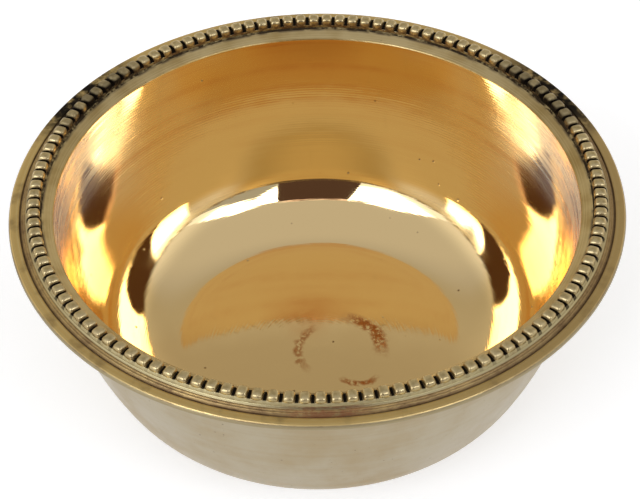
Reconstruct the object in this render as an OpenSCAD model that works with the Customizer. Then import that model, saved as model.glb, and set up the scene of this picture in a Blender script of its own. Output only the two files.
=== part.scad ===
// Offering bowl in turned brass, with a beaded border round its mouth.
// Millimetres, Z up. The Z axis is the axis of the bowl, and its foot stands on z = 0.

/* [Bowl] */
// Diameter inside the mouth
mouth_d = 94.2; // [80:0.1:110]
// Depth from the mouth to the middle of the floor
bowl_depth = 38.3; // [32:0.1:48]
// Thickness of the floor and the wall
wall_t = 1.8; // [1.2:0.1:2.6]
// Inside radius of the rounded corner between floor and wall
corner_r = 16.2; // [12:0.1:18]
// Slope of the nearly flat floor where the corner starts, in degrees
floor_edge_slope = 1; // [0.5:0.25:3]
// Slope of the wall where the corner ends, in degrees
wall_foot_slope = 66; // [60:1:70]
// Slope of the wall at the mouth, in degrees
mouth_slope = 87; // [82:0.5:88]

/* [Mouth lip] */
// Width of the smooth lip that slopes up from the mouth, measured level
lip_w = 2; // [1.4:0.1:3]
// Slope of the lip, in degrees
lip_slope = 24; // [15:1:35]
// Radius of the lip's rounded inner edge
lip_edge_r = 0.3; // [0.15:0.05:0.5]

/* [Flange] */
// Height of the step from the lip down to the flange
step_h = 1.2; // [0.8:0.1:1.6]
// Thickness of the flange that carries the border
flange_t = 1.2; // [0.8:0.1:2]
// Radius of the hollow under the flange
under_r = 1.2; // [0.6:0.1:2]

/* [Border moulding] */
// Width of the solder line between the lip and the moulding
seam_w = 0.4; // [0.2:0.05:0.6]
// Rise of the solder line from the lip to the moulding
seam_rise = 0.25; // [0.1:0.05:0.4]
// Width of the rib that carries the beads
rib_w = 2.25; // [1.8:0.05:2.8]
// Height of the rib above the lip
rib_rise = 0.7; // [0.5:0.05:1.2]
// Slope of the outer side of the rib, in degrees
shoulder_slope = 63; // [50:1:75]
// Drop from the top of the rib to the first thread
shoulder_drop = 0.4; // [0.3:0.05:0.6]
// Number of fine threads outside the rib
thread_count = 2; // [1:1:3]
// Width of one thread
thread_w = 0.38; // [0.25:0.01:0.5]
// Drop from one thread to the next
thread_drop = 0.22; // [0.1:0.01:0.3]
// Width of the groove between the threads and the outer band
groove_w = 0.45; // [0.3:0.05:0.7]
// Depth of the groove below the outer band
groove_depth = 0.28; // [0.15:0.01:0.45]
// Width of the plain outer band
band_w = 1.85; // [1.4:0.05:2.6]
// Drop from the edge of the lip to the outer band
band_drop = 0.3; // [0.1:0.05:0.5]
// Radius of the outer edge of the rim
edge_r = 0.75; // [0.5:0.05:1]
// Angle round the outer edge, from level, at which the band's crisp corner lies
arris_angle = 60; // [45:1:75]
// Thickness of the skirt round the edge of the flange
skirt_w = 1.7; // [1.2:0.05:2]
// Height by which the skirt laps over the edge of the flange
skirt_lap = 0.5; // [0.3:0.05:1]
// Width of the solder line between the flange and the skirt
flange_seam_w = 0.2; // [0.1:0.05:0.4]

/* [Beads] */
// Diameter of a bead
bead_d = 2.3; // [1.8:0.05:2.45]
// Distance from one bead to the next, as near as a whole number of beads allows
bead_spacing = 2.55; // [2.5:0.05:3.2]
// Height of a bead's centre above the rib
bead_lift = 0.4; // [0.2:0.05:0.6]
// Distance that the beads stand in from the middle of their strip
bead_inset = 0.1; // [0:0.05:0.2]
// Thickness of the strip that joins the beads
strip_h = 0.6; // [0.3:0.05:0.8]

/* [Foot] */
// Distance from the edge of the floor in to the top of the foot ring
foot_inset = 0.6; // [0.3:0.1:5]
// Width of the foot ring where it meets the bowl
foot_top_w = 2; // [1.4:0.1:2.6]
// Width of the foot ring on the table
foot_w = 2.8; // [2.6:0.1:4]
// Height of the middle of the bowl above the table
foot_clearance = 2.4; // [1.5:0.1:5]
// Broken edge round the bottom of the foot ring
foot_chamfer = 0.3; // [0.1:0.05:0.5]
// Radius of the solder bead round the top of the foot ring
foot_seam_r = 0.5; // [0.3:0.05:0.8]

/* [Hidden] */
$fn = 120;
// Sides of a bead where it is drawn as a mesh
bead_sides = 32;
// Steps along each arc of an outline
arc_steps = 12;
// Share of a thread's width that is its level tread
tread_share = 0.65;

brass = [0.80, 0.69, 0.47];
bright_brass = [0.86, 0.68, 0.36];
dark_solder = [0.30, 0.24, 0.15];

// The bowl's outline is three arcs that run smoothly into each other: floor, corner and wall.
// The slopes at their ends and the corner's radius are given. The floor's and the wall's radius
// then solve two sums: the arcs' runs add up to the mouth's radius, and their climbs to the depth.
run_left = mouth_d / 2 - corner_r * (sin(wall_foot_slope) - sin(floor_edge_slope));
climb_left = bowl_depth - corner_r * (cos(floor_edge_slope) - cos(wall_foot_slope));
floor_run = sin(floor_edge_slope);
floor_climb = 1 - cos(floor_edge_slope);
wall_run = sin(mouth_slope) - sin(wall_foot_slope);
wall_climb = cos(wall_foot_slope) - cos(mouth_slope);
cross_sum = floor_run * wall_climb - wall_run * floor_climb;
floor_r = (run_left * wall_climb - climb_left * wall_run) / cross_sum;
wall_r = (floor_run * climb_left - floor_climb * run_left) / cross_sum;

// Heights, from the table up
floor_z = foot_clearance + wall_t;
mouth_z = floor_z + bowl_depth;
lip_start = [mouth_d / 2 + lip_edge_r * (sin(mouth_slope) - sin(lip_slope)),
             mouth_z + lip_edge_r * (cos(lip_slope) - cos(mouth_slope))];
lip_outer_r = mouth_d / 2 + lip_w;
lip_z = lip_start[1] + (lip_outer_r - lip_start[0]) * tan(lip_slope);
flange_z = lip_z - step_h;
rib_z = lip_z + rib_rise;
band_z = lip_z - band_drop;
bead_z = rib_z + bead_lift;

// Radii of the border, from the lip outwards
rib_inner_r = lip_outer_r + seam_w;
rib_outer_r = rib_inner_r + rib_w;
thread_r = rib_outer_r + shoulder_drop / tan(shoulder_slope);
thread_z = rib_z - shoulder_drop;
groove_r = thread_r + thread_count * thread_w;
band_inner_r = groove_r + groove_w;
rim_r = band_inner_r + band_w;
skirt_inner_r = rim_r - skirt_w;
flange_r = skirt_inner_r - flange_seam_w;
edge_z = band_z - edge_r * sin(arris_angle);
skirt_z = flange_z - skirt_lap;
skirt_r = min(edge_r, edge_z - skirt_z);

// The beads stand along the strip, whose outer side carries on the slope of the rib
strip_top_w = rib_w - strip_h / tan(shoulder_slope);
bead_ring_r = rib_inner_r + strip_top_w / 2 - bead_inset;
bead_count = round(2 * PI * bead_ring_r / bead_spacing);

// The foot ring stands under the floor's arc
foot_top_r = (floor_r + wall_t) * sin(floor_edge_slope) - foot_inset;
foot_inner_r = foot_top_r - foot_top_w;
foot_r = foot_inner_r + foot_w;
foot_top_z = floor_z + floor_r - sqrt(pow(floor_r + wall_t, 2) - pow(foot_top_r, 2));

// Centres of the three arcs
floor_centre = [0, floor_z + floor_r];
corner_centre = floor_centre + (floor_r - corner_r) * outward(floor_edge_slope);
wall_centre = corner_centre + (corner_r - wall_r) * outward(wall_foot_slope);

// Direction out of the bowl where its outline has the given slope
function outward(slope) = [sin(slope), -cos(slope)];

// Points along an arc of the outline, without its first one
function sweep(centre, radius, from, to) =
    [for (i = [1:arc_steps]) centre + radius * outward(from + (to - from) * i / arc_steps)];

// The bowl's outline from the axis to the mouth, thickness t outside its inner face
function bowl_line(t, end_slope) = concat(
    [floor_centre + (floor_r + t) * outward(0)],
    sweep(floor_centre, floor_r + t, 0, floor_edge_slope),
    sweep(corner_centre, corner_r + t, floor_edge_slope, wall_foot_slope),
    sweep(wall_centre, wall_r + t, wall_foot_slope, end_slope));

function reversed(points) = [for (i = [len(points) - 1:-1:0]) points[i]];

// Where the outer face of the wall runs into the hollow under the flange
under_z = flange_z - flange_t - under_r;
under_slope = acos((wall_centre[1] - under_z) / (wall_r + wall_t));
under_centre = wall_centre + (wall_r + wall_t) * outward(under_slope) + [under_r, 0];

module bowl_outline() {
    edge_centre = [mouth_d / 2, mouth_z] + lip_edge_r * outward(mouth_slope);
    polygon(concat(
        bowl_line(0, mouth_slope),
        [for (i = [1:arc_steps])
            edge_centre - lip_edge_r * outward(mouth_slope + (lip_slope - mouth_slope) * i / arc_steps)],
        [[lip_outer_r, lip_z], [lip_outer_r, flange_z],
         [flange_r, flange_z], [flange_r, flange_z - flange_t]],
        [for (i = [0:arc_steps])
            let (turn = 90 * i / arc_steps) under_centre + under_r * [-sin(turn), cos(turn)]],
        reversed(bowl_line(wall_t, under_slope))));
}

module bowl_shell() {
    color(brass) rotate_extrude() bowl_outline();
}

// A rounded corner of the rim's edge, as points from one angle to another
function rounding(centre, radius, from, to) =
    [for (i = [0:arc_steps]) let (turn = from + (to - from) * i / arc_steps)
        centre + radius * [cos(turn), sin(turn)]];

module moulding_outline() {
    polygon(concat(
        [[rib_inner_r, flange_z], [skirt_inner_r, flange_z], [skirt_inner_r, skirt_z]],
        rounding([rim_r - skirt_r, skirt_z + skirt_r], skirt_r, -90, 0),
        rounding([rim_r - edge_r, edge_z], edge_r, 0, arris_angle),
        [[band_inner_r, band_z], [band_inner_r - groove_w / 2, band_z - groove_depth]],
        [for (i = [thread_count - 1:-1:0], side = [1, 0])
            [thread_r + (i + side * tread_share) * thread_w, thread_z - i * thread_drop]],
        [[rib_outer_r, rib_z], [rib_inner_r, rib_z]]));
}

module rim_moulding() {
    color(brass) rotate_extrude() moulding_outline();
}

module strip_outline() {
    polygon([[rib_inner_r, rib_z], [rib_outer_r, rib_z],
             [rib_inner_r + strip_top_w, rib_z + strip_h], [rib_inner_r, rib_z + strip_h]]);
}

// A bead, cut flat where the wire is soldered down on the rib
module bead() {
    difference() {
        translate([bead_ring_r, 0, bead_z]) sphere(d = bead_d, $fn = bead_sides);
        translate([bead_ring_r - bead_d, -bead_d, rib_z - bead_d])
            cube([2 * bead_d, 2 * bead_d, bead_d]);
    }
}

module beaded_wire() {
    color(bright_brass) {
        rotate_extrude() strip_outline();
        for (i = [0:bead_count - 1]) rotate([0, 0, i * 360 / bead_count]) bead();
    }
}

module rim_seam() {
    color(dark_solder)
        rotate_extrude()
            polygon([[lip_outer_r, flange_z], [rib_inner_r, flange_z],
                     [rib_inner_r, lip_z + seam_rise], [lip_outer_r, lip_z]]);
}

module flange_seam() {
    color(dark_solder)
        rotate_extrude()
            polygon([[flange_r, flange_z], [flange_r, skirt_z - flange_seam_w],
                     [skirt_inner_r, skirt_z], [skirt_inner_r, flange_z]]);
}

// Everything above the outer face of the bowl's bottom
module above_bottom() {
    polygon(concat(bowl_line(wall_t, wall_foot_slope), [[0, mouth_z]]));
}

module foot_outline() {
    difference() {
        polygon([[foot_inner_r + foot_chamfer, 0], [foot_r - foot_chamfer, 0],
                 [foot_r, foot_chamfer], [foot_top_r, foot_top_z],
                 [foot_inner_r, foot_top_z], [foot_inner_r, foot_chamfer]]);
        above_bottom();
    }
}

module foot_ring() {
    color(brass) rotate_extrude() foot_outline();
}

// Rounded solder in the corner between the foot ring's outer side and the bowl
module foot_seam() {
    color(dark_solder)
        rotate_extrude()
            difference() {
                translate([foot_top_r, foot_top_z]) circle(r = foot_seam_r);
                foot_outline();
                above_bottom();
                square([foot_top_r - foot_top_w / 2, foot_top_z]);
            }
}

bowl_shell();
rim_moulding();
beaded_wire();
rim_seam();
flange_seam();
foot_ring();
foot_seam();
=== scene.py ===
# Offering bowl in turned brass, with a beaded border round its mouth. Everything is in metres.
import math

import bpy
import numpy as np
from mathutils import Matrix, Vector, noise


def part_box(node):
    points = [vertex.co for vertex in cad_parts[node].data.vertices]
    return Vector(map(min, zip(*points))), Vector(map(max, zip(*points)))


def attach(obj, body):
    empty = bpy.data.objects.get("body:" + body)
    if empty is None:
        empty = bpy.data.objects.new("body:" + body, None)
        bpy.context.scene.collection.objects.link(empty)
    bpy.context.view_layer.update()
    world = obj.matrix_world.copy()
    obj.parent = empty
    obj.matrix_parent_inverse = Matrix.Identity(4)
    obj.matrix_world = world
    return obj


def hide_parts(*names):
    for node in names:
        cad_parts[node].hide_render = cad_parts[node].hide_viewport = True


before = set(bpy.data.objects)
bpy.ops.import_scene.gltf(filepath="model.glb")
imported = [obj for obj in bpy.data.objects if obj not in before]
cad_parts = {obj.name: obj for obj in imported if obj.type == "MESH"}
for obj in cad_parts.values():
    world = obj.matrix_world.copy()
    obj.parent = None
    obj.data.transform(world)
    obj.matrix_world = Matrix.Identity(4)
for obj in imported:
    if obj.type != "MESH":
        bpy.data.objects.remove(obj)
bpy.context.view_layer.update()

mm = 0.001

bowl = {
    "mouthWidth": 94.2 * mm,        # across the inside of the mouth
    "depth": 38.3 * mm,             # from the mouth to the middle of the floor
    "wall": 1.8 * mm,
    "cornerRadius": 16.2 * mm,      # between floor and wall
    "floorEdgeSlope": 1,            # degrees from level, as are the other slopes
    "wallFootSlope": 66,
    "mouthSlope": 87,
    "polishedFootSlope": 68,        # the same two slopes inside, where polishing has thinned the wall
    "polishedMouthSlope": 87.5,
    "lipWidth": 2 * mm,
    "lipSlope": 24,
    "lipEdge": 0.3 * mm,            # radius of the lip's inner edge
    "step": 1.2 * mm,               # from the lip down to the flange
    "flange": 1.2 * mm,
    "hollow": 1.2 * mm,             # radius of the hollow under the flange
    "crown": 0.3 * mm,              # slight rise that the lathe left in the middle of the floor
    "crownReach": 23 * mm,
    "crownUneven": 0.06 * mm,
    "crownLump": 14 * mm,           # size of that unevenness, across the floor
    "turns": 384,                   # faces round the bowl
    "arcSteps": (36, 40, 64),       # faces up the floor, the corner and the wall
    "lipSteps": 6,
    "hollowSteps": 10,
}

border = {
    "seam": 0.4 * mm,               # solder line between lip and border
    "seamRise": 0.25 * mm,
    "ribWidth": 2.25 * mm,
    "ribRise": 0.7 * mm,
    "shoulderSlope": 63,
    "shoulderDrop": 0.4 * mm,
    "threads": 2,
    "threadWidth": 0.38 * mm,
    "threadDrop": 0.22 * mm,
    "treadShare": 0.65,
    "grooveWidth": 0.45 * mm,
    "grooveDepth": 0.28 * mm,
    "bandWidth": 1.85 * mm,
    "bandDrop": 0.3 * mm,
    "edgeRadius": 0.75 * mm,
    "arrisAngle": 60,
    "skirt": 1.7 * mm,
    "skirtLap": 0.5 * mm,
    "flangeSeam": 0.2 * mm,
    "softness": 0.09 * mm,          # how far wear has rounded each corner
    "turns": 384,
    "roundSteps": 8,
}

beads = {
    "width": 2.3 * mm,
    "spacing": 2.55 * mm,
    "lift": 0.4 * mm,               # of a bead's centre above the rib
    "inset": 0.1 * mm,
    "strip": 0.6 * mm,
    "fullness": 4,                  # seen from above, 2 is round and more is squarer
    "crownFullness": 2.8,           # the same, seen from the side
    "lengthShare": 0.9,             # of a bead's length along the ring to its width
    "unevenness": 0.05,             # share of a bead's size
    "lean": 0.06,                   # the most that a bead leans along the ring, in radians
    "sizeNoise": (0.73, 3.1),       # step from one bead to the next and row, in the noise for size
    "leanNoise": (0.91, 7.7),
    "rings": 14,
    "sides": 20,
}

foot = {
    "inset": 0.6 * mm,              # from the edge of the floor in to the ring
    "topWidth": 2 * mm,
    "width": 2.8 * mm,
    "chamfer": 0.3 * mm,
    "softness": 0.12 * mm,
    "seam": 0.5 * mm,
    "turns": 256,
    "topSteps": 6,
    "seamSteps": 8,
}

solder = {
    "turns": 720,
    "waves": [(27, 0.11 * mm), (81, 0.07 * mm)],    # how fine and how deep the rim's seam is uneven
    "sink": 0.03 * mm,              # of that seam's top, all round
    "bendShare": (0.4, 0.2),        # of its width and its rise, where its top bends up
    "sag": 0.06 * mm,
    "dark": (0.05, 0.035, 0.02),
    "worn": (0.42, 0.32, 0.15),
    "roughness": 0.6,
    "lumpHeight": 0.06,             # in millimetres
}


def outward(slope):
    angle = math.radians(slope)
    return np.array([math.sin(angle), -math.cos(angle)])


def arc(centre, radius, start, end, steps):
    return [centre + radius * outward(start + (end - start) * i / steps) for i in range(1, steps + 1)]


def rounding(centre, radius, start, end, steps):
    angles = [math.radians(start + (end - start) * i / steps) for i in range(steps + 1)]
    return [centre + radius * np.array([math.cos(angle), math.sin(angle)]) for angle in angles]


# Rounds each corner of an outline, apart from those that hardly turn
def soften(outline, size, steps=3, hardly=15, reachShare=0.45):
    points = []
    for i, corner in enumerate(outline):
        back = outline[i - 1] - corner
        ahead = outline[(i + 1) % len(outline)] - corner
        backLength, aheadLength = np.linalg.norm(back), np.linalg.norm(ahead)
        straightness = -np.dot(back, ahead) / (backLength * aheadLength)
        if straightness > math.cos(math.radians(hardly)):
            points.append(corner)
            continue
        reach = min(size, reachShare * backLength, reachShare * aheadLength)
        start = corner + back * reach / backLength
        end = corner + ahead * reach / aheadLength
        for k in range(steps + 1):
            t = k / steps
            points.append((1 - t) ** 2 * start + 2 * t * (1 - t) * corner + t ** 2 * end)
    return points


# Heights and radii that the pieces share
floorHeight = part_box("bowl_shell")[0].z + bowl["wall"]
floorEdge, wallFoot, mouthEdge = bowl["floorEdgeSlope"], bowl["wallFootSlope"], bowl["mouthSlope"]


# The bowl's line is three arcs that meet smoothly: floor, corner and wall. Each is given by its
# centre, its radius and the slopes at its ends
def threeArcs(footSlope, mouthSlope):
    reaches = np.array([outward(floorEdge) - outward(0), outward(mouthSlope) - outward(footSlope)]).T
    left = np.array([bowl["mouthWidth"] / 2, bowl["depth"]])
    left = left - bowl["cornerRadius"] * (outward(footSlope) - outward(floorEdge))
    floorArc, wallArc = np.linalg.solve(reaches, left)
    floorMiddle = np.array([0, floorHeight + floorArc])
    cornerMiddle = floorMiddle + (floorArc - bowl["cornerRadius"]) * outward(floorEdge)
    wallMiddle = cornerMiddle + (bowl["cornerRadius"] - wallArc) * outward(footSlope)
    return [(floorMiddle, floorArc, 0, floorEdge),
            (cornerMiddle, bowl["cornerRadius"], floorEdge, footSlope),
            (wallMiddle, wallArc, footSlope, mouthSlope)]


castArcs = threeArcs(wallFoot, mouthEdge)
floorCentre, floorRadius = castArcs[0][:2]
wallCentre, wallRadius = castArcs[2][:2]

mouth = np.array([bowl["mouthWidth"] / 2, floorHeight + bowl["depth"]])
lipEdgeCentre = mouth + bowl["lipEdge"] * outward(mouthEdge)
lipStart = lipEdgeCentre - bowl["lipEdge"] * outward(bowl["lipSlope"])
lipRadius = mouth[0] + bowl["lipWidth"]
lipHeight = lipStart[1] + (lipRadius - lipStart[0]) * math.tan(math.radians(bowl["lipSlope"]))
flangeHeight = lipHeight - bowl["step"]
ribHeight = lipHeight + border["ribRise"]
bandHeight = lipHeight - border["bandDrop"]

ribInner = lipRadius + border["seam"]
ribOuter = ribInner + border["ribWidth"]
shoulderRun = math.tan(math.radians(border["shoulderSlope"]))
threadRadius = ribOuter + border["shoulderDrop"] / shoulderRun
threadHeight = ribHeight - border["shoulderDrop"]
grooveRadius = threadRadius + border["threads"] * border["threadWidth"]
bandInner = grooveRadius + border["grooveWidth"]
rimRadius = bandInner + border["bandWidth"]
skirtInner = rimRadius - border["skirt"]
flangeRadius = skirtInner - border["flangeSeam"]
edgeHeight = bandHeight - border["edgeRadius"] * math.sin(math.radians(border["arrisAngle"]))
skirtHeight = flangeHeight - border["skirtLap"]
skirtRound = min(border["edgeRadius"], edgeHeight - skirtHeight)

stripTop = border["ribWidth"] - beads["strip"] / shoulderRun
beadRing = ribInner + stripTop / 2 - beads["inset"]
beadHeight = ribHeight + beads["lift"]
beadCount = round(2 * math.pi * beadRing / beads["spacing"])

footTop = (floorRadius + bowl["wall"]) * outward(floorEdge)[0] - foot["inset"]
footInner = footTop - foot["topWidth"]
footOuter = footInner + foot["width"]


# Points up the bowl's line from the axis, which lie the offset outside its arcs
def bowlLine(arcs, offset=0):
    line = [arcs[0][0] + (arcs[0][1] + offset) * outward(0)]
    for (centre, radius, start, end), steps in zip(arcs, bowl["arcSteps"]):
        line += arc(centre, radius + offset, start, end, steps)
    return line


def undersideHeight(radius):
    return floorCentre[1] - math.sqrt((floorRadius + bowl["wall"]) ** 2 - radius ** 2)


def newPiece(name, vertices, faces, replaced, finishes, sharpAngle=40):
    mesh = bpy.data.meshes.new(name)
    mesh.from_pydata([tuple(v) for v in vertices], [], faces)
    mesh.validate()
    mesh.shade_smooth()
    mesh.set_sharp_from_angle(angle=math.radians(sharpAngle))
    for finish in finishes:
        mesh.materials.append(finish)
    piece = bpy.data.objects.new(name, mesh)
    bpy.context.scene.collection.objects.link(piece)
    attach(piece, "root")
    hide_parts(replaced)
    return piece


# Spins an outline of (radius, height) points. Points on the axis become one vertex each
def spin(outline, turns, uneven=None):
    outline = [np.array(point, float) for point in outline]
    area = sum(a[0] * b[1] - b[0] * a[1] for a, b in zip(outline, outline[1:] + outline[:1]))
    if area > 0:
        outline = outline[::-1]
    angles = np.arange(turns) * 2 * math.pi / turns
    vertices, rows = [], []
    for point in outline:
        if point[0] < 1e-9:
            rows.append([len(vertices)] * turns)
            vertices.append((0.0, 0.0, point[1] if uneven is None else uneven(point, 0)[1]))
            continue
        rows.append(list(range(len(vertices), len(vertices) + turns)))
        for angle in angles:
            radius, height = point if uneven is None else uneven(point, angle)
            vertices.append((radius * math.cos(angle), radius * math.sin(angle), height))
    faces = []
    for first, second in zip(rows, rows[1:] + rows[:1]):
        if first[0] == first[1] and second[0] == second[1]:
            continue
        for j in range(turns):
            k = (j + 1) % turns
            corners = [first[j], second[j], second[k], first[k]]
            faces.append([c for n, c in enumerate(corners) if c not in corners[:n]])
    return vertices, faces


# The inside of the floor stands a little proud in the middle
def crowned(point, angle):
    if point[0] > bowl["crownReach"] or point[1] < floorHeight - 0.5 * bowl["wall"]:
        return point
    share = (1 - (point[0] / bowl["crownReach"]) ** 2) ** 2
    around = Vector((point[0] * math.cos(angle), point[0] * math.sin(angle), 0)) / bowl["crownLump"]
    return point[0], point[1] + share * (bowl["crown"] + bowl["crownUneven"] * noise.noise(around))


def makeBowl(outsideBrass):
    line = bowlLine(threeArcs(bowl["polishedFootSlope"], bowl["polishedMouthSlope"]))
    lip = []
    for i in range(1, bowl["lipSteps"] + 1):
        slope = mouthEdge + (bowl["lipSlope"] - mouthEdge) * i / bowl["lipSteps"]
        lip.append(lipEdgeCentre - bowl["lipEdge"] * outward(slope))
    lip.append(np.array([lipRadius, lipHeight]))
    underHeight = flangeHeight - bowl["flange"] - bowl["hollow"]
    underSlope = math.degrees(math.acos((wallCentre[1] - underHeight) / (wallRadius + bowl["wall"])))
    underCentre = wallCentre + (wallRadius + bowl["wall"]) * outward(underSlope)
    underCentre = underCentre + np.array([bowl["hollow"], 0])
    outside = [np.array([lipRadius, flangeHeight]), np.array([flangeRadius, flangeHeight]),
               np.array([flangeRadius, flangeHeight - bowl["flange"]])]
    outside += rounding(underCentre, bowl["hollow"], 90, 180, bowl["hollowSteps"])
    underArcs = castArcs[:2] + [(wallCentre, wallRadius, wallFoot, underSlope)]
    outside += bowlLine(underArcs, bowl["wall"])[::-1]
    vertices, faces = spin(line + lip + outside, bowl["turns"], crowned)
    finishes = [polishedInside(), satinLip(), outsideBrass]
    piece = newPiece("turnedBowl", vertices, faces, "bowl_shell", finishes)
    # The faces come in rings, from the middle of the floor up over the lip and down the outside
    insideFaces = (len(line) - 1) * bowl["turns"]
    lipFaces = insideFaces + len(lip) * bowl["turns"]
    indices = [0 if i < insideFaces else 1 if i < lipFaces else 2 for i in range(len(faces))]
    piece.data.polygons.foreach_set("material_index", indices)


def makeBorder():
    threads = []
    for i in range(border["threads"] - 1, -1, -1):
        for tread in (border["treadShare"], 0):
            out = threadRadius + (i + tread) * border["threadWidth"]
            threads.append(np.array([out, threadHeight - i * border["threadDrop"]]))
    outline = [np.array([ribInner, flangeHeight]), np.array([skirtInner, flangeHeight]),
               np.array([skirtInner, skirtHeight])]
    lowCentre = np.array([rimRadius - skirtRound, skirtHeight + skirtRound])
    outline += rounding(lowCentre, skirtRound, -90, 0, border["roundSteps"])
    highCentre = np.array([rimRadius - border["edgeRadius"], edgeHeight])
    outline += rounding(highCentre, border["edgeRadius"], 0, border["arrisAngle"], border["roundSteps"])
    outline += [np.array([bandInner, bandHeight]),
                np.array([bandInner - border["grooveWidth"] / 2, bandHeight - border["grooveDepth"]])]
    outline += threads
    outline += [np.array([ribOuter, ribHeight]), np.array([ribInner, ribHeight])]
    vertices, faces = spin(soften(outline, border["softness"]), border["turns"])
    newPiece("borderRing", vertices, faces, "rim_moulding", [borderFinish()])


# A sine or cosine, bent so that a round becomes a rounded block
def fuller(value, fullness):
    return math.copysign(abs(value) ** (2 / fullness), value)


# A bead is a rounded block. Its crown is up, and its foot is buried in the strip
def beadPoints(angle, size, leanAngle):
    half = beads["width"] / 2
    centre = Vector((beadRing, 0, beadHeight))
    spun = Matrix.Rotation(angle, 3, "Z")
    lean = Matrix.Rotation(leanAngle, 3, "X")
    points = []
    low = -math.asin((beads["lift"] / half) ** (beads["crownFullness"] / 2))
    for ring in range(beads["rings"] + 1):
        rise = math.pi / 2 + (low - math.pi / 2) * ring / beads["rings"]
        level = fuller(max(math.cos(rise), 0), beads["crownFullness"])
        for side in range(beads["sides"] if ring else 1):
            turn = 2 * math.pi * side / beads["sides"]
            across = fuller(math.cos(turn), beads["fullness"]) * level
            along = fuller(math.sin(turn), beads["fullness"]) * level * beads["lengthShare"]
            above = fuller(math.sin(rise), beads["crownFullness"])
            points.append(spun @ (centre + lean @ (Vector((across, along, above)) * half * size)))
    return points


def beadNoise(i, place):
    step, row = place
    return noise.noise(Vector((i * step, row, 0)))


def makeBeads():
    strip = [(ribInner, ribHeight), (ribOuter, ribHeight),
             (ribInner + stripTop, ribHeight + beads["strip"]), (ribInner, ribHeight + beads["strip"])]
    strip = soften([np.array(point) for point in strip], border["softness"])
    vertices, faces = spin(strip, border["turns"])
    rings, sides = beads["rings"], beads["sides"]
    for i in range(beadCount):
        size = 1 - beads["unevenness"] * abs(beadNoise(i, beads["sizeNoise"]))
        lean = beads["lean"] * beadNoise(i, beads["leanNoise"])
        base = len(vertices)
        vertices += beadPoints(2 * math.pi * i / beadCount, size, lean)
        for side in range(sides):
            after = (side + 1) % sides
            faces.append([base, base + 1 + side, base + 1 + after])
            for ring in range(1, rings):
                upper, lower = base + 1 + (ring - 1) * sides, base + 1 + ring * sides
                faces.append([upper + side, lower + side, lower + after, upper + after])
        lowest = base + 1 + (rings - 1) * sides
        faces.append([lowest + side for side in range(sides - 1, -1, -1)])
    newPiece("beadedWire", vertices, faces, "beaded_wire", [beadFinish()], 60)


# The top of the seam at the rim goes up and down. Its foot lies flat on the flange
def seamUneven(point, angle):
    if point[1] <= flangeHeight:
        return point
    around = Vector((math.cos(angle), math.sin(angle), 0))
    drop = sum(depth * noise.noise(around * fineness) for fineness, depth in solder["waves"])
    return point[0], point[1] - abs(drop) - solder["sink"]


def makeSeams(darkSolder):
    across, up = solder["bendShare"]
    outline = [(lipRadius, flangeHeight), (ribInner, flangeHeight),
               (ribInner, lipHeight + border["seamRise"]),
               (lipRadius + border["seam"] * across, lipHeight + border["seamRise"] * up),
               (lipRadius, lipHeight)]
    vertices, faces = spin(outline, solder["turns"], seamUneven)
    newPiece("rimSolder", vertices, faces, "rim_seam", [darkSolder])

    low = skirtHeight - border["flangeSeam"]
    outline = [(flangeRadius, flangeHeight), (flangeRadius, low),
               (flangeRadius + border["flangeSeam"] / 2, low + solder["sag"]), (skirtInner, skirtHeight),
               (skirtInner, flangeHeight)]
    vertices, faces = spin(outline, border["turns"])
    newPiece("flangeSolder", vertices, faces, "flange_seam", [darkSolder])


def makeFoot(outsideBrass, darkSolder):
    steps = foot["topSteps"]
    top = [footInner + foot["topWidth"] * i / steps for i in range(steps + 1)]
    top = [np.array([radius, undersideHeight(radius)]) for radius in top]
    outline = [np.array([footInner + foot["chamfer"], 0]), np.array([footOuter - foot["chamfer"], 0]),
               np.array([footOuter, foot["chamfer"]])]
    outline += top[::-1] + [np.array([footInner, foot["chamfer"]])]
    vertices, faces = spin(soften(outline, foot["softness"]), foot["turns"])
    newPiece("footRing", vertices, faces, "foot_ring", [outsideBrass])

    # The solder is the part of a small round that lies outside the ring and under the bowl
    meet = np.array([footTop, undersideHeight(footTop)])
    bowlSlope = math.degrees(math.asin(footTop / (floorRadius + bowl["wall"])))
    side = np.array([footOuter, foot["chamfer"]]) - meet
    sideSlope = math.degrees(math.atan2(side[1], side[0]))
    outline = [meet] + rounding(meet, foot["seam"], sideSlope, bowlSlope, foot["seamSteps"])
    vertices, faces = spin(outline, foot["turns"])
    newPiece("footSolder", vertices, faces, "foot_seam", [darkSolder])


# One socket in a sum. Numbers and other signals combine with it through Math nodes
class Signal:
    def __init__(self, bench, socket):
        self.bench, self.socket = bench, socket

    def sibling(self, index):
        return Signal(self.bench, self.socket.node.outputs[index])

    def __add__(self, other):
        return self.bench.maths("ADD", self, other)

    def __sub__(self, other):
        return self.bench.maths("SUBTRACT", self, other)

    def __rsub__(self, other):
        return self.bench.maths("SUBTRACT", other, self)

    def __mul__(self, other):
        return self.bench.maths("MULTIPLY", self, other)

    def __truediv__(self, other):
        return self.bench.maths("DIVIDE", self, other)

    def __rtruediv__(self, other):
        return self.bench.maths("DIVIDE", other, self)

    def __gt__(self, other):
        return self.bench.maths("GREATER_THAN", self, other)

    def __lt__(self, other):
        return self.bench.maths("LESS_THAN", self, other)

    __radd__ = __add__
    __rmul__ = __mul__


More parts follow.
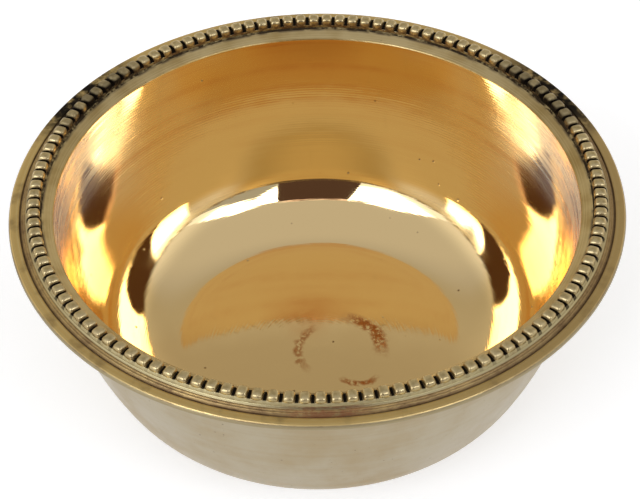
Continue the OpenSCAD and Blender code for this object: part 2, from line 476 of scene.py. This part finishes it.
class Bench:
    def __init__(self, owner):
        owner.use_nodes = True
        self.tree = owner.node_tree
        self.tree.nodes.clear()

    def add(self, kind, settings=None, sockets=None, out=0):
        node = self.tree.nodes.new(kind)
        for name, value in (settings or {}).items():
            setattr(node, name, value)
        for name, value in (sockets or {}).items():
            socket = node.inputs[name]
            if isinstance(value, Signal):
                self.tree.links.new(value.socket, socket)
            elif isinstance(value, tuple) and len(value) == 3 and socket.type == "RGBA":
                socket.default_value = (*value, 1)
            else:
                socket.default_value = value
        return Signal(self, node.outputs[out])

    def maths(self, operation, *values):
        return self.add("ShaderNodeMath", {"operation": operation}, dict(enumerate(values)))

    def vectors(self, operation, *values, out=0):
        return self.add("ShaderNodeVectorMath", {"operation": operation}, dict(enumerate(values)), out)

    def blend(self, share, first, second):
        return self.add("ShaderNodeMix", {"data_type": "RGBA", "clamp_factor": True},
                        {0: share, 6: first, 7: second}, out=2)

    # Climbs smoothly from 0 at the first limit to 1 at the second
    def fade(self, value, low, high):
        return self.add("ShaderNodeMapRange", {"interpolation_type": "SMOOTHSTEP"},
                        {"Value": value, "From Min": low, "From Max": high})

    # 1 at the middle of a value, and nothing beyond the reach on both its sides
    def near(self, value, middle, reach, soft=1.0):
        away = self.maths("ABSOLUTE", value - middle)
        return 1 - self.fade(away, reach * (1 - soft), reach)

    # The x, y and z of a vector
    def parts(self, vector):
        x = self.add("ShaderNodeSeparateXYZ", None, {0: vector})
        return x, x.sibling(1), x.sibling(2)

    # The place on the object, its distance from the axis and its height
    def coordinates(self):
        place = self.add("ShaderNodeTexCoord", out=3)
        x, y, height = self.parts(place)
        return place, self.maths("SQRT", x * x + y * y), height

    # Share of a sector of the ring: 1 about its middle, nothing beyond its half width. Degrees
    def sector(self, place, middle, halfWidth, fullShare=0.3):
        toward = math.radians(middle)
        flat = self.vectors("NORMALIZE", self.vectors("MULTIPLY", place, (1, 1, 0)))
        facing = self.vectors("DOT_PRODUCT", flat, (math.cos(toward), math.sin(toward), 0), out=1)
        edge, full = math.radians(halfWidth), math.radians(halfWidth * fullShare)
        return self.fade(facing, math.cos(edge), math.cos(full))

    def sectors(self, place, sectors):
        share = 0
        for middle, halfWidth in sectors:
            share = self.sector(place, middle, halfWidth) + share
        return share

    def noise(self, place, scale, detail=3.0, roughness=0.5, out=0):
        return self.add("ShaderNodeTexNoise", None,
                        {"Vector": place, "Scale": scale, "Detail": detail, "Roughness": roughness}, out)

    # Noise that changes along one value alone, such as turning marks along the radius
    def rings(self, value, scale, detail=2.0, roughness=0.5):
        return self.add("ShaderNodeTexNoise", {"noise_dimensions": "1D"},
                        {"W": value, "Scale": scale, "Detail": detail, "Roughness": roughness})

    # The place, pushed about by noise, for edges that aren't round or straight
    def wander(self, place, scale, amount):
        push = self.vectors("SUBTRACT", self.noise(place, scale, 4.0, out=1), (0.5, 0.5, 0.5))
        return self.vectors("MULTIPLY_ADD", push, (amount, amount, amount), place)

    # Small round pits. Each set is given by its spacing, its pits' width and the share left out
    def pits(self, place, sets):
        pits = 0
        for spacing, width, leftOut in sets:
            cell = self.add("ShaderNodeTexVoronoi", {"feature": "F1"},
                            {"Vector": place, "Scale": 1 / spacing})
            chance = self.add("ShaderNodeSeparateColor", None, {0: cell.sibling(1)})
            reach = width / spacing
            pits = (1 - self.fade(cell, reach * 0.3, reach)) * (chance > leftOut) + pits
        return pits

    # A height in millimetres, as the surface's normal
    def bump(self, height):
        return self.add("ShaderNodeBump", None, {"Height": height, "Strength": 1.0, "Distance": mm})

    def metal(self, colour, roughness, normal, grain=0.0, metallic=1.0):
        return self.add("ShaderNodeBsdfPrincipled", None,
                        {"Base Color": colour, "Metallic": metallic, "Roughness": roughness,
                         "Normal": normal, "Anisotropic": grain,
                         "Anisotropic Rotation": 0.25 if grain else 0.0})

    def show(self, surface, kind="ShaderNodeOutputMaterial"):
        output = self.tree.nodes.new(kind)
        self.tree.links.new(surface.socket, output.inputs["Surface"])


def newFinish(name):
    material = bpy.data.materials.new(name)
    return material, Bench(material)


inside = {
    # A fade is given by the heights above the floor where it begins and ends
    "wall": (0.93, 0.70, 0.35),
    "floor": (0.92, 0.68, 0.34),
    "floorFade": (1 * mm, 10 * mm),
    "dull": (0.80, 0.57, 0.27),             # the front of the floor, where less polishing reached
    "dullDepth": (-4 * mm, 11 * mm),        # where it fades, from front to back
    "dullUneven": 24 * mm,
    "dullFade": (0.5 * mm, 3 * mm),
    "sides": [(180, 48), (0, 48)],          # middle and half width of both sides, in degrees
    "highlightPale": (0.97, 0.92, 0.84),             # painted highlight: paler metal at the sides near the mouth, where the panels' reflections fall, so that they come out cream
    "highlightPaleFade": (10 * mm, 26 * mm),
    "rim": (0.82, 0.74, 0.56),              # the worn, hazy streaks at their top
    "rimFade": (23 * mm, 35 * mm),
    "haze": 0.75,                           # share of the shine that the haze takes there
    "film": (0.76, 0.40, 0.15),             # warm film of handling and old polish
    "filmShare": 0.4,
    "filmFade": (8 * mm, 30 * mm),
    "backFilm": 0.45,                       # more of it at the back near the mouth
    "backSector": (92, 16),
    "backFade": (27 * mm, 38 * mm),
    "stain": (0.42, 0.14, 0.03),
    "stainUneven": 2.2 * mm,
    "pit": (0.16, 0.09, 0.04),
    "pits": [(4.2 * mm, 0.36 * mm, 0.5)],   # spacing, width and share left out
    "roughness": 0.035,
    "feed": 0.62 * mm,                      # from one turning mark to the next
    "feedHeight": 0.0005,                   # in millimetres, as are the other heights of marks
    "scratchHeight": 0.004,
    "waveHeight": 0.03,
    "pitDepth": 0.01,
    "blushes": [(-1.8 * mm, 10.4 * mm, 7 * mm), (-2.5 * mm, 6 * mm, 6 * mm)],   # x, y and reach
    # Arcs of an old stain: x, y, radius and half width, the middle and half spread in degrees, and
    # how dark
    "arcs": [(3.4 * mm, -1 * mm, 7.6 * mm, 1.2 * mm, 172, 56, 0.85),
             (3.6 * mm, 0, 8.2 * mm, 1.9 * mm, 34, 56, 1),
             (7.2 * mm, -5.4 * mm, 4.2 * mm, 1 * mm, 272, 64, 1)],
}


def polishedInside():
    material, bench = newFinish("polishedInside")
    place, radius, height = bench.coordinates()
    along = radius + height                                 # runs up over floor, corner and wall
    up = height - floorHeight
    cloud = bench.noise(place, 85, 4)
    blotch = bench.noise(place, 300, 4)
    colour = bench.blend(bench.fade(up, *inside["floorFade"]), inside["floor"], inside["wall"])
    back = bench.parts(place)[1] + (bench.noise(place, 55, 2) - 0.5) * inside["dullUneven"]
    front = (1 - bench.fade(back, *inside["dullDepth"])) * (1 - bench.fade(up, *inside["dullFade"]))
    colour = bench.blend(front, colour, inside["dull"])
    sides = bench.sectors(place, inside["sides"])
    # Painted highlight: paler metal on both sides near the mouth, where the panels' reflections fall
    colour = bench.blend(sides * bench.fade(up, *inside["highlightPaleFade"]) * 0.95, colour, inside["highlightPale"])

    # Turning marks run round the bowl for some way, and then fade into others
    drawn = bench.vectors("MULTIPLY", place, (0.04, 0.04, 0))
    drawn = bench.vectors("ADD", drawn, bench.add("ShaderNodeCombineXYZ", None, {2: along}))
    scratches = bench.noise(drawn, 1900, 3, 0.6)
    nearRim = sides * bench.fade(up, *inside["rimFade"])
    rim = nearRim * bench.fade(scratches, 0.35, 0.6)
    colour = bench.blend(rim * 0.9, colour, inside["rim"])

    # Bands of film run round the wall, deepest near the mouth
    bands = bench.fade(bench.rings(along, 330, 4), 0.42, 0.72) + bench.fade(scratches, 0.5, 0.75) * 0.5
    film = bands * bench.fade(up, *inside["filmFade"]) * bench.fade(cloud, 0.25, 0.6)
    film = film * inside["filmShare"] * (1 - nearRim)
    atBack = bench.sector(place, *inside["backSector"]) * bench.fade(up, *inside["backFade"])
    film = film + atBack * inside["backFilm"]
    for x, y, reach in inside["blushes"]:
        away = bench.vectors("DISTANCE", place, (x, y, floorHeight), out=1)
        film = film + (1 - bench.fade(away, 0, reach)) * bench.fade(blotch, 0.2, 0.6) * 0.4
    colour = bench.blend(film, colour, inside["film"])

    # An old drip has left parts of a brown ring on the floor, in thin lines and blotches
    loose = bench.vectors("MULTIPLY", bench.wander(place, 420, inside["stainUneven"]), (1, 1, 0))
    lines = bench.near(bench.noise(place, 620, 2), 0.5, 0.09)
    blotches = bench.fade(bench.noise(place, 900, 3), 0.36, 0.56)
    onFloor = 1 - bench.fade(up, 0.5 * mm, 1 * mm)
    ring = 0
    for x, y, arcRadius, halfWidth, middle, spread, strength in inside["arcs"]:
        fromCentre = bench.vectors("SUBTRACT", loose, (x, y, 0))
        away = bench.vectors("LENGTH", fromCentre, out=1)
        arcShare = bench.near(away, arcRadius, halfWidth, 0.7) * bench.sector(fromCentre, middle, spread)
        ring = arcShare * strength * bench.maths("MAXIMUM", lines, blotches * strength) + ring
    ring = ring * onFloor
    colour = bench.blend(ring, colour, inside["stain"])

    pits = bench.pits(place, inside["pits"])
    colour = bench.blend(pits * 0.85, colour, inside["pit"])

    roughness = inside["roughness"] + bench.fade(cloud, 0.3, 0.8) * 0.03 + ring * 0.2 + pits * 0.3
    roughness = roughness + nearRim * 0.03 + rim * 0.22
    feed = bench.maths("SINE", along * (2 * math.pi / inside["feed"])) * inside["feedHeight"]
    marks = feed + scratches * (sides * 2 + 1) * inside["scratchHeight"]
    marks = marks + bench.noise(place, 110, 2) * inside["waveHeight"] - pits * inside["pitDepth"]
    shine = 1 - (nearRim * 0.5 + rim * 0.5) * inside["haze"]
    bench.show(bench.metal(colour, roughness, bench.bump(marks), 0.4, shine))
    return material


satin = {
    "lip": (0.62, 0.48, 0.24),
    "lipDark": (0.42, 0.29, 0.11),
    "outside": (0.41, 0.35, 0.24),
    "outsideWarm": (0.38, 0.29, 0.16),
    "fleck": (0.14, 0.10, 0.06),
    "lipFlecks": [(1.7 * mm, 0.2 * mm, 0.6)],
    "outsideFlecks": [(2.2 * mm, 0.22 * mm, 0.45), (0.9 * mm, 0.1 * mm, 0.7)],
    "grimeWidth": 0.5 * mm,         # of the grime on the lip beside the solder
    "roughness": 0.34,
    "markHeight": 0.006,            # in millimetres, as are the other heights
    "lipWaveHeight": 0.012,
    "waveHeight": 0.03,
    "lipFleckDepth": 0.02,
    "fleckDepth": 0.025,
}


def satinLip():
    material, bench = newFinish("satinLip")
    place, radius = bench.coordinates()[:2]
    streaks = bench.rings(radius, 5200, 3, 0.6)
    cloud = bench.noise(place, 160, 4)
    grime = bench.fade(radius, lipRadius - satin["grimeWidth"], lipRadius)
    colour = bench.blend(bench.fade(cloud + streaks, 0.8, 1.3), satin["lip"], satin["lipDark"])
    colour = bench.blend(grime * bench.fade(bench.noise(place, 420, 3), 0.3, 0.6), colour, satin["fleck"])
    flecks = bench.pits(place, satin["lipFlecks"])
    colour = bench.blend(flecks * 0.6, colour, satin["fleck"])
    roughness = satin["roughness"] - 0.06 + cloud * 0.1 + flecks * 0.2
    marks = streaks * satin["markHeight"] + bench.noise(place, 700, 3) * satin["lipWaveHeight"]
    marks = marks - flecks * satin["lipFleckDepth"]
    bench.show(bench.metal(colour, roughness, bench.bump(marks), 0.5))
    return material


def satinOutside():
    material, bench = newFinish("satinOutside")
    place, radius, height = bench.coordinates()
    along = radius + height
    streaks = bench.rings(along, 2600, 4, 0.65)
    wide = bench.rings(along, 500, 2)
    cloud = bench.noise(place, 70, 5, 0.6)
    warm = bench.fade(cloud + wide * 0.2, 0.4, 0.9)
    colour = bench.blend(warm, satin["outside"], satin["outsideWarm"])
    colour = bench.blend(bench.fade(streaks, 0.55, 0.8) * 0.16, colour, satin["fleck"])
    flecks = bench.pits(place, satin["outsideFlecks"])
    colour = bench.blend(flecks * 0.65, colour, satin["fleck"])
    roughness = satin["roughness"] + bench.fade(cloud, 0.3, 0.7) * 0.12 + flecks * 0.15
    marks = streaks * satin["markHeight"] + bench.noise(place, 260, 4) * satin["waveHeight"]
    marks = marks - flecks * satin["fleckDepth"]
    bench.show(bench.metal(colour, roughness, bench.bump(marks), 0.4))
    return material


trim = {
    "band": (0.66, 0.45, 0.16),
    "bandPale": (0.74, 0.58, 0.28),
    "dullBand": (0.40, 0.28, 0.13),
    "rib": (0.46, 0.38, 0.20),              # the bright outer side of the rib, outside the beads
    "skirt": (0.34, 0.275, 0.155),
    "bead": (0.46, 0.35, 0.17),
    "beadWorn": (0.60, 0.48, 0.26),
    "brown": (0.17, 0.10, 0.05),            # old patina, and the blackest of it, which in the gaps between the beads is also painted shade
    "black": (0.018, 0.013, 0.009),
    "red": (0.30, 0.13, 0.06),
    "roughness": 0.3,
    "markHeight": 0.004,                    # in millimetres, as are the other two heights
    "lumpHeight": 0.012,
    "beadLumpHeight": 0.015,
    "darkSectors": [(32, 17), (146, 17)],   # middle and half width, in degrees
    "redSector": (-89, 9),
    "dullSector": (-10, 75),                # where the band is darker, round the right side
    # where the painted shade in the bead gaps is wider
    "wideGapSectors": [(165, 75), (5, 75)],
    "skirtFade": (0.25 * mm, 0.04 * mm),    # below the band, where the skirt's colour ends
    "arrisLine": (0.2 * mm, 0.16 * mm),     # dark line below the band: how far, and its half width
    "grooveReach": 0.24 * mm,
    "riserReach": 0.1 * mm,
    "gapAt": 0.4,                           # share of the way from a bead's middle to the next one's
    "wornFrom": (0.55 * mm, 1.1 * mm),      # above the beads' centres, where wear begins and is full
    "climb": (0.3 * mm, 1.6 * mm),          # height of the patina and painted shade at a bead's middle, and how it climbs
    "innerSide": (0.75 * mm, 0.35 * mm),    # inward of the beads' centres, where it is full and ends
}


# How dark the border is round the ring: patchy, and much darker where nobody polished
def grimeAround(bench, place):
    patches = bench.fade(bench.noise(place, 130, 4, 0.6), 0.42, 0.72)
    dark = bench.sectors(place, trim["darkSectors"])
    return patches, dark * bench.fade(bench.noise(place, 400, 4, 0.6), 0.25, 0.55)


def borderFinish():
    material, bench = newFinish("borderFinish")
    place, radius, height = bench.coordinates()
    patches, dark = grimeAround(bench, place)
    streaks = bench.rings(radius, 6500, 3, 0.7)
    broken = bench.noise(bench.vectors("MULTIPLY", place, (1, 1, 3)), 900, 4, 0.6)
    low, high = trim["skirtFade"]
    skirt = 1 - bench.fade(height, bandHeight - low, bandHeight - high)
    below, halfWidth = trim["arrisLine"]
    underArris = bench.near(height, bandHeight - below, halfWidth)
    underArris = underArris * bench.fade(patches + broken, 0.4, 1.1)
    onBand = bench.fade(radius, bandInner - 0.05 * mm, bandInner + 0.1 * mm)

    colour = bench.blend(bench.fade(streaks, 0.4, 0.65), trim["band"], trim["bandPale"])
    colour = bench.blend(bench.fade(bench.noise(place, 240, 4), 0.5, 0.75) * 0.5, colour, trim["brown"])
    colour = bench.blend(bench.sector(place, *trim["dullSector"]) * 0.6, colour, trim["dullBand"])
    colour = bench.blend(skirt, colour, trim["skirt"])
    colour = bench.blend(underArris * 0.6, colour, trim["brown"])

    grooveMiddle = bandInner - border["grooveWidth"] / 2
    inGroove = bench.near(radius, grooveMiddle, trim["grooveReach"], 0.6)
    onRib = 1 - bench.fade(radius, threadRadius - 0.02 * mm, threadRadius + 0.08 * mm)
    colour = bench.blend(onRib, colour, trim["rib"])
    onThreads = bench.fade(radius, threadRadius - 0.05 * mm, threadRadius + 0.1 * mm) * (1 - onBand)
    onThreads = onThreads * (0.4 + patches * 0.35 + bench.fade(broken, 0.4, 0.7) * 0.25)
    risers = 0
    for i in range(border["threads"] + 1):
        riser = threadRadius + i * border["threadWidth"]
        risers = bench.near(radius, riser, trim["riserReach"]) + risers
    colour = bench.blend(onThreads, colour, trim["brown"])
    colour = bench.blend(risers * 0.4 + inGroove * (0.45 + patches * 0.3), colour, trim["brown"])
    innerWall = 1 - bench.fade(radius, ribInner + 0.03 * mm, ribInner + 0.15 * mm)
    colour = bench.blend(innerWall * bench.fade(broken, 0.35, 0.6), colour, trim["brown"])
    red = bench.sector(place, *trim["redSector"]) * (1 - onBand) * bench.fade(broken, 0.35, 0.55) * 0.7
    colour = bench.blend(red, colour, trim["red"])
    colour = bench.blend(dark * (1 - skirt), colour, trim["black"])

    roughness = trim["roughness"] + onThreads * 0.2 + inGroove * 0.3 + dark * 0.3 + broken * 0.08
    roughness = roughness + skirt * 0.15
    marks = streaks * trim["markHeight"] + broken * trim["lumpHeight"]
    bench.show(bench.metal(colour, roughness, bench.bump(marks), 0.3))
    return material


def beadFinish():
    material, bench = newFinish("beadFinish")
    place, radius, height = bench.coordinates()
    dark = grimeAround(bench, place)[1]
    x, y = bench.parts(place)[:2]
    turn = bench.maths("ARCTAN2", y, x) * (beadCount / (2 * math.pi)) + 0.5
    fromMiddle = bench.maths("ABSOLUTE", bench.maths("FRACT", turn + beadCount) - 0.5)
    rise = bench.fade(height, ribHeight + 0.2 * mm, beadHeight + 0.9 * mm)
    start, full = trim["wornFrom"]
    worn = bench.fade(height, beadHeight + start, beadHeight + full)
    broken = bench.noise(place, 1100, 4, 0.6)
    atSides = bench.sectors(place, trim["wideGapSectors"])
    # Patina and painted shade: black in the gaps between the beads, wider at both sides of the ring
    edge = trim["gapAt"] - 0.05 + rise * 0.07 + broken * 0.04 - atSides * 0.06
    outerFace = bench.fade(radius, ribInner + stripTop - 0.06 * mm, ribInner + stripTop + 0.06 * mm)
    gap = bench.fade(fromMiddle - edge, -0.025, 0.03) * (1 - outerFace * (0.9 - atSides * 0.75))
    # Patina and painted shade lie low on the inner side of each bead, and climb towards its gaps
    atMiddle, gain = trim["climb"]
    climb = ribHeight + atMiddle + fromMiddle * gain
    low = 1 - bench.fade(height - climb, -0.15 * mm, 0.25 * mm)
    full, end = trim["innerSide"]
    innerSide = 1 - bench.fade(radius, beadRing - full, beadRing - end)
    innerFootPatinaAndShade = innerSide * low * bench.fade(broken, 0.3, 0.55)

    colour = bench.blend(worn * bench.fade(broken, 0.3, 0.6), trim["bead"], trim["beadWorn"])
    mottled = bench.fade(bench.noise(place, 520, 4), 0.5, 0.72) * (1 - worn) * 0.5
    colour = bench.blend(mottled, colour, trim["brown"])
    colour = bench.blend(outerFace * (1 - mottled), colour, trim["rib"])
    colour = bench.blend(innerFootPatinaAndShade * 0.85, colour, trim["brown"])
    colour = bench.blend(gap, colour, trim["black"])
    colour = bench.blend(dark * (1 - worn * 0.5), colour, trim["black"])
    roughness = trim["roughness"] + gap * 0.4 + low * 0.15 + dark * 0.3 + broken * 0.08
    bench.show(bench.metal(colour, roughness, bench.bump(broken * trim["beadLumpHeight"])))
    return material


def solderFinish():
    material, bench = newFinish("solderFinish")
    place = bench.coordinates()[0]
    lumps = bench.noise(place, 900, 4, 0.6)
    worn = bench.fade(bench.noise(place, 260, 4), 0.42, 0.6) * bench.fade(lumps, 0.4, 0.6)
    colour = bench.blend(worn, solder["dark"], solder["worn"])
    normal = bench.bump(lumps * solder["lumpHeight"])
    bench.show(bench.metal(colour, solder["roughness"] - worn * 0.2, normal))
    return material


camera = {
    "distance": 359.7 * mm,         # from the centre of the rim
    "elevation": 41.73,             # degrees, as are the three small turns
    "lens": 112.95,                 # in millimetres, as is the sensor's width
    "sensor": 36,
    "yaw": 0.058,
    "pitch": 1.486,
    "roll": 1.068,
    "aimBelowLip": 0.53 * mm,
}


def makeCamera():
    elevation = math.radians(camera["elevation"])
    back = Vector((0, -math.cos(elevation), math.sin(elevation)))
    right = Vector((1, 0, 0))
    look = Matrix((right, back.cross(right), back))
    turn = Matrix.Rotation(math.radians(camera["roll"]), 3, "Z")
    turn = turn @ Matrix.Rotation(math.radians(camera["pitch"]), 3, "X")
    turn = turn @ Matrix.Rotation(math.radians(camera["yaw"]), 3, "Y")
    place = (turn @ look).transposed().to_4x4()
    place.translation = back * camera["distance"] + Vector((0, 0, lipHeight - camera["aimBelowLip"]))
    data = bpy.data.cameras.new("camera")
    data.lens = camera["lens"]
    data.sensor_width = camera["sensor"]
    data.clip_start = 10 * mm
    eye = bpy.data.objects.new("camera", data)
    eye.matrix_world = place
    bpy.context.scene.collection.objects.link(eye)
    bpy.context.scene.camera = eye


# Places in the sky are sideways and forward, for a height of 1. A pair without a note of its own is
# where a fade begins and ends
studio = {
    "floorHalf": 3,                 # half the floor's width, in metres
    "floorShade": 0.8,
    "floorFill": 0.45,              # what the floor adds where it is seen, to look white
    "horizon": 0.03,                # lowest height that a place in the sky is worked out for
    "greyTint": (1.0, 1.0, 1.02),
    "behindTint": (1.0, 0.94, 0.8),
    "tintFade": (-0.8, -0.45),      # forward, from the tint behind to the grey
    "panelTint": (0.95, 1.0, 1.1),
    "gapTint": (1.0, 0.6, 0.5),
    "ambient": 0.58,
    "behind": 0.13,                 # how much darker the surroundings are high up behind the bowl
    "behindAt": (-0.75, 0.6),       # the middle of that, forward, and its reach
    "sides": 0.3,                   # how much brighter they are at both sides
    "sidesFade": (0.9, 1.9),
    "panel": 6.0,
    "panelEdge": 1.3,               # what is left of the panels' light beyond their bright middle
    "middleSide": (1.15, 1.7),      # the end of that middle, sideways and forward
    "middleTop": (1.55, 2.1),
    "window": 0.45,                 # light of the darker window high up in the right panel
    "windowFoot": (1.12, 1.22),     # its edges, forward and sideways
    "windowSide": (0.76, 0.84),
    "panelFoot": 0.67,
    "footBlur": 0.02,
    "footRise": 0.2,                # how much higher the panels' feet are beside the gap
    "footRiseAt": (0.04, 0.8, 0.45),    # the middle of that, sideways, its reach and its softness
    "gap": 0.09,                    # the dark gap between the panels, where the maker's room shows
    "gapLeft": 0.1,                 # the gap's two sides, sideways, and how they lean out going forward
    "leftLean": -0.455,
    "gapRight": 0.12,
    "rightLean": 0.3,
    "bounces": 24,                  # light bounces many times between the polished walls
    "glossyBounces": 16,
}


def makeFloor():
    half = studio["floorHalf"]
    mesh = bpy.data.meshes.new("floor")
    corners = [(-half, -half, 0), (half, -half, 0), (half, half, 0), (-half, half, 0)]
    mesh.from_pydata(corners, [], [(0, 1, 2, 3)])
    floor = bpy.data.objects.new("floor", mesh)
    bpy.context.scene.collection.objects.link(floor)
    material, bench = newFinish("floorPaper")
    shade = studio["floorShade"]
    diffuse = bench.add("ShaderNodeBsdfDiffuse", None, {"Color": (shade, shade, shade)})
    fill = bench.add("ShaderNodeEmission", None, {"Color": (1, 1, 1), "Strength": studio["floorFill"]})
    both = bench.add("ShaderNodeAddShader", None, {0: diffuse, 1: fill})
    # Seen by the camera, in a reflection (output 3) or through something clear (output 6)
    seen = bench.add("ShaderNodeLightPath")
    seen = bench.maths("MAXIMUM", seen, bench.maths("MAXIMUM", seen.sibling(3), seen.sibling(6)))
    bench.show(bench.add("ShaderNodeMixShader", None, {0: seen, 1: diffuse, 2: both}))
    mesh.materials.append(material)


# Soft grey surroundings, with two large white panels in front and a dark gap between them
def makeWorld():
    world = bpy.data.worlds.new("studio")
    bpy.context.scene.world = world
    bench = Bench(world)
    x, y, z = bench.parts(bench.add("ShaderNodeTexCoord"))
    height = bench.maths("MAXIMUM", z, studio["horizon"])
    sideways = x / height
    forward = 0 - y / height
    spread = bench.maths("ABSOLUTE", sideways)

    grey = studio["ambient"] + bench.fade(spread, *studio["sidesFade"]) * studio["sides"]
    grey = grey - bench.near(forward, *studio["behindAt"]) * studio["behind"]

    # Both panels are brightest in the middle. The right one has a darker window high up
    middle = 1 - bench.fade(spread, *studio["middleSide"])
    middle = middle * (1 - bench.fade(forward, *studio["middleTop"]))
    panel = studio["panelEdge"] + middle * (studio["panel"] - studio["panelEdge"])
    window = bench.fade(forward, *studio["windowFoot"]) * bench.fade(sideways, *studio["windowSide"])
    panel = panel + (studio["window"] - panel) * window
    inGap = sideways > (forward * studio["leftLean"] + studio["gapLeft"])
    inGap = inGap * (1 - (sideways > (forward * studio["rightLean"] + studio["gapRight"])))
    footRise = bench.near(sideways, *studio["footRiseAt"]) * studio["footRise"]
    aboveFoot = forward - (studio["panelFoot"] + footRise)
    panelShare = bench.fade(aboveFoot, -studio["footBlur"], studio["footBlur"])
    inGap = inGap * panelShare
    light = grey + (panel - grey) * panelShare
    light = light + (studio["gap"] - light) * inGap
    tint = bench.fade(forward, *studio["tintFade"])
    tint = bench.blend(tint, studio["behindTint"], studio["greyTint"])
    tint = bench.blend(panelShare, tint, studio["panelTint"])
    tint = bench.blend(inGap, tint, studio["gapTint"])
    bench.show(bench.add("ShaderNodeBackground", None, {"Color": tint, "Strength": light}),
               "ShaderNodeOutputWorld")
    bpy.context.scene.cycles.max_bounces = studio["bounces"]
    bpy.context.scene.cycles.glossy_bounces = studio["glossyBounces"]


outsideBrass = satinOutside()
darkSolder = solderFinish()
makeBowl(outsideBrass)
makeBorder()
makeBeads()
makeSeams(darkSolder)
makeFoot(outsideBrass, darkSolder)
print("bowl, border, beads, solder and foot made:", beadCount, "beads")
makeFloor()
makeWorld()
makeCamera()
print("stage, light and camera set")

bpy.context.scene.view_settings.view_transform = "Standard"
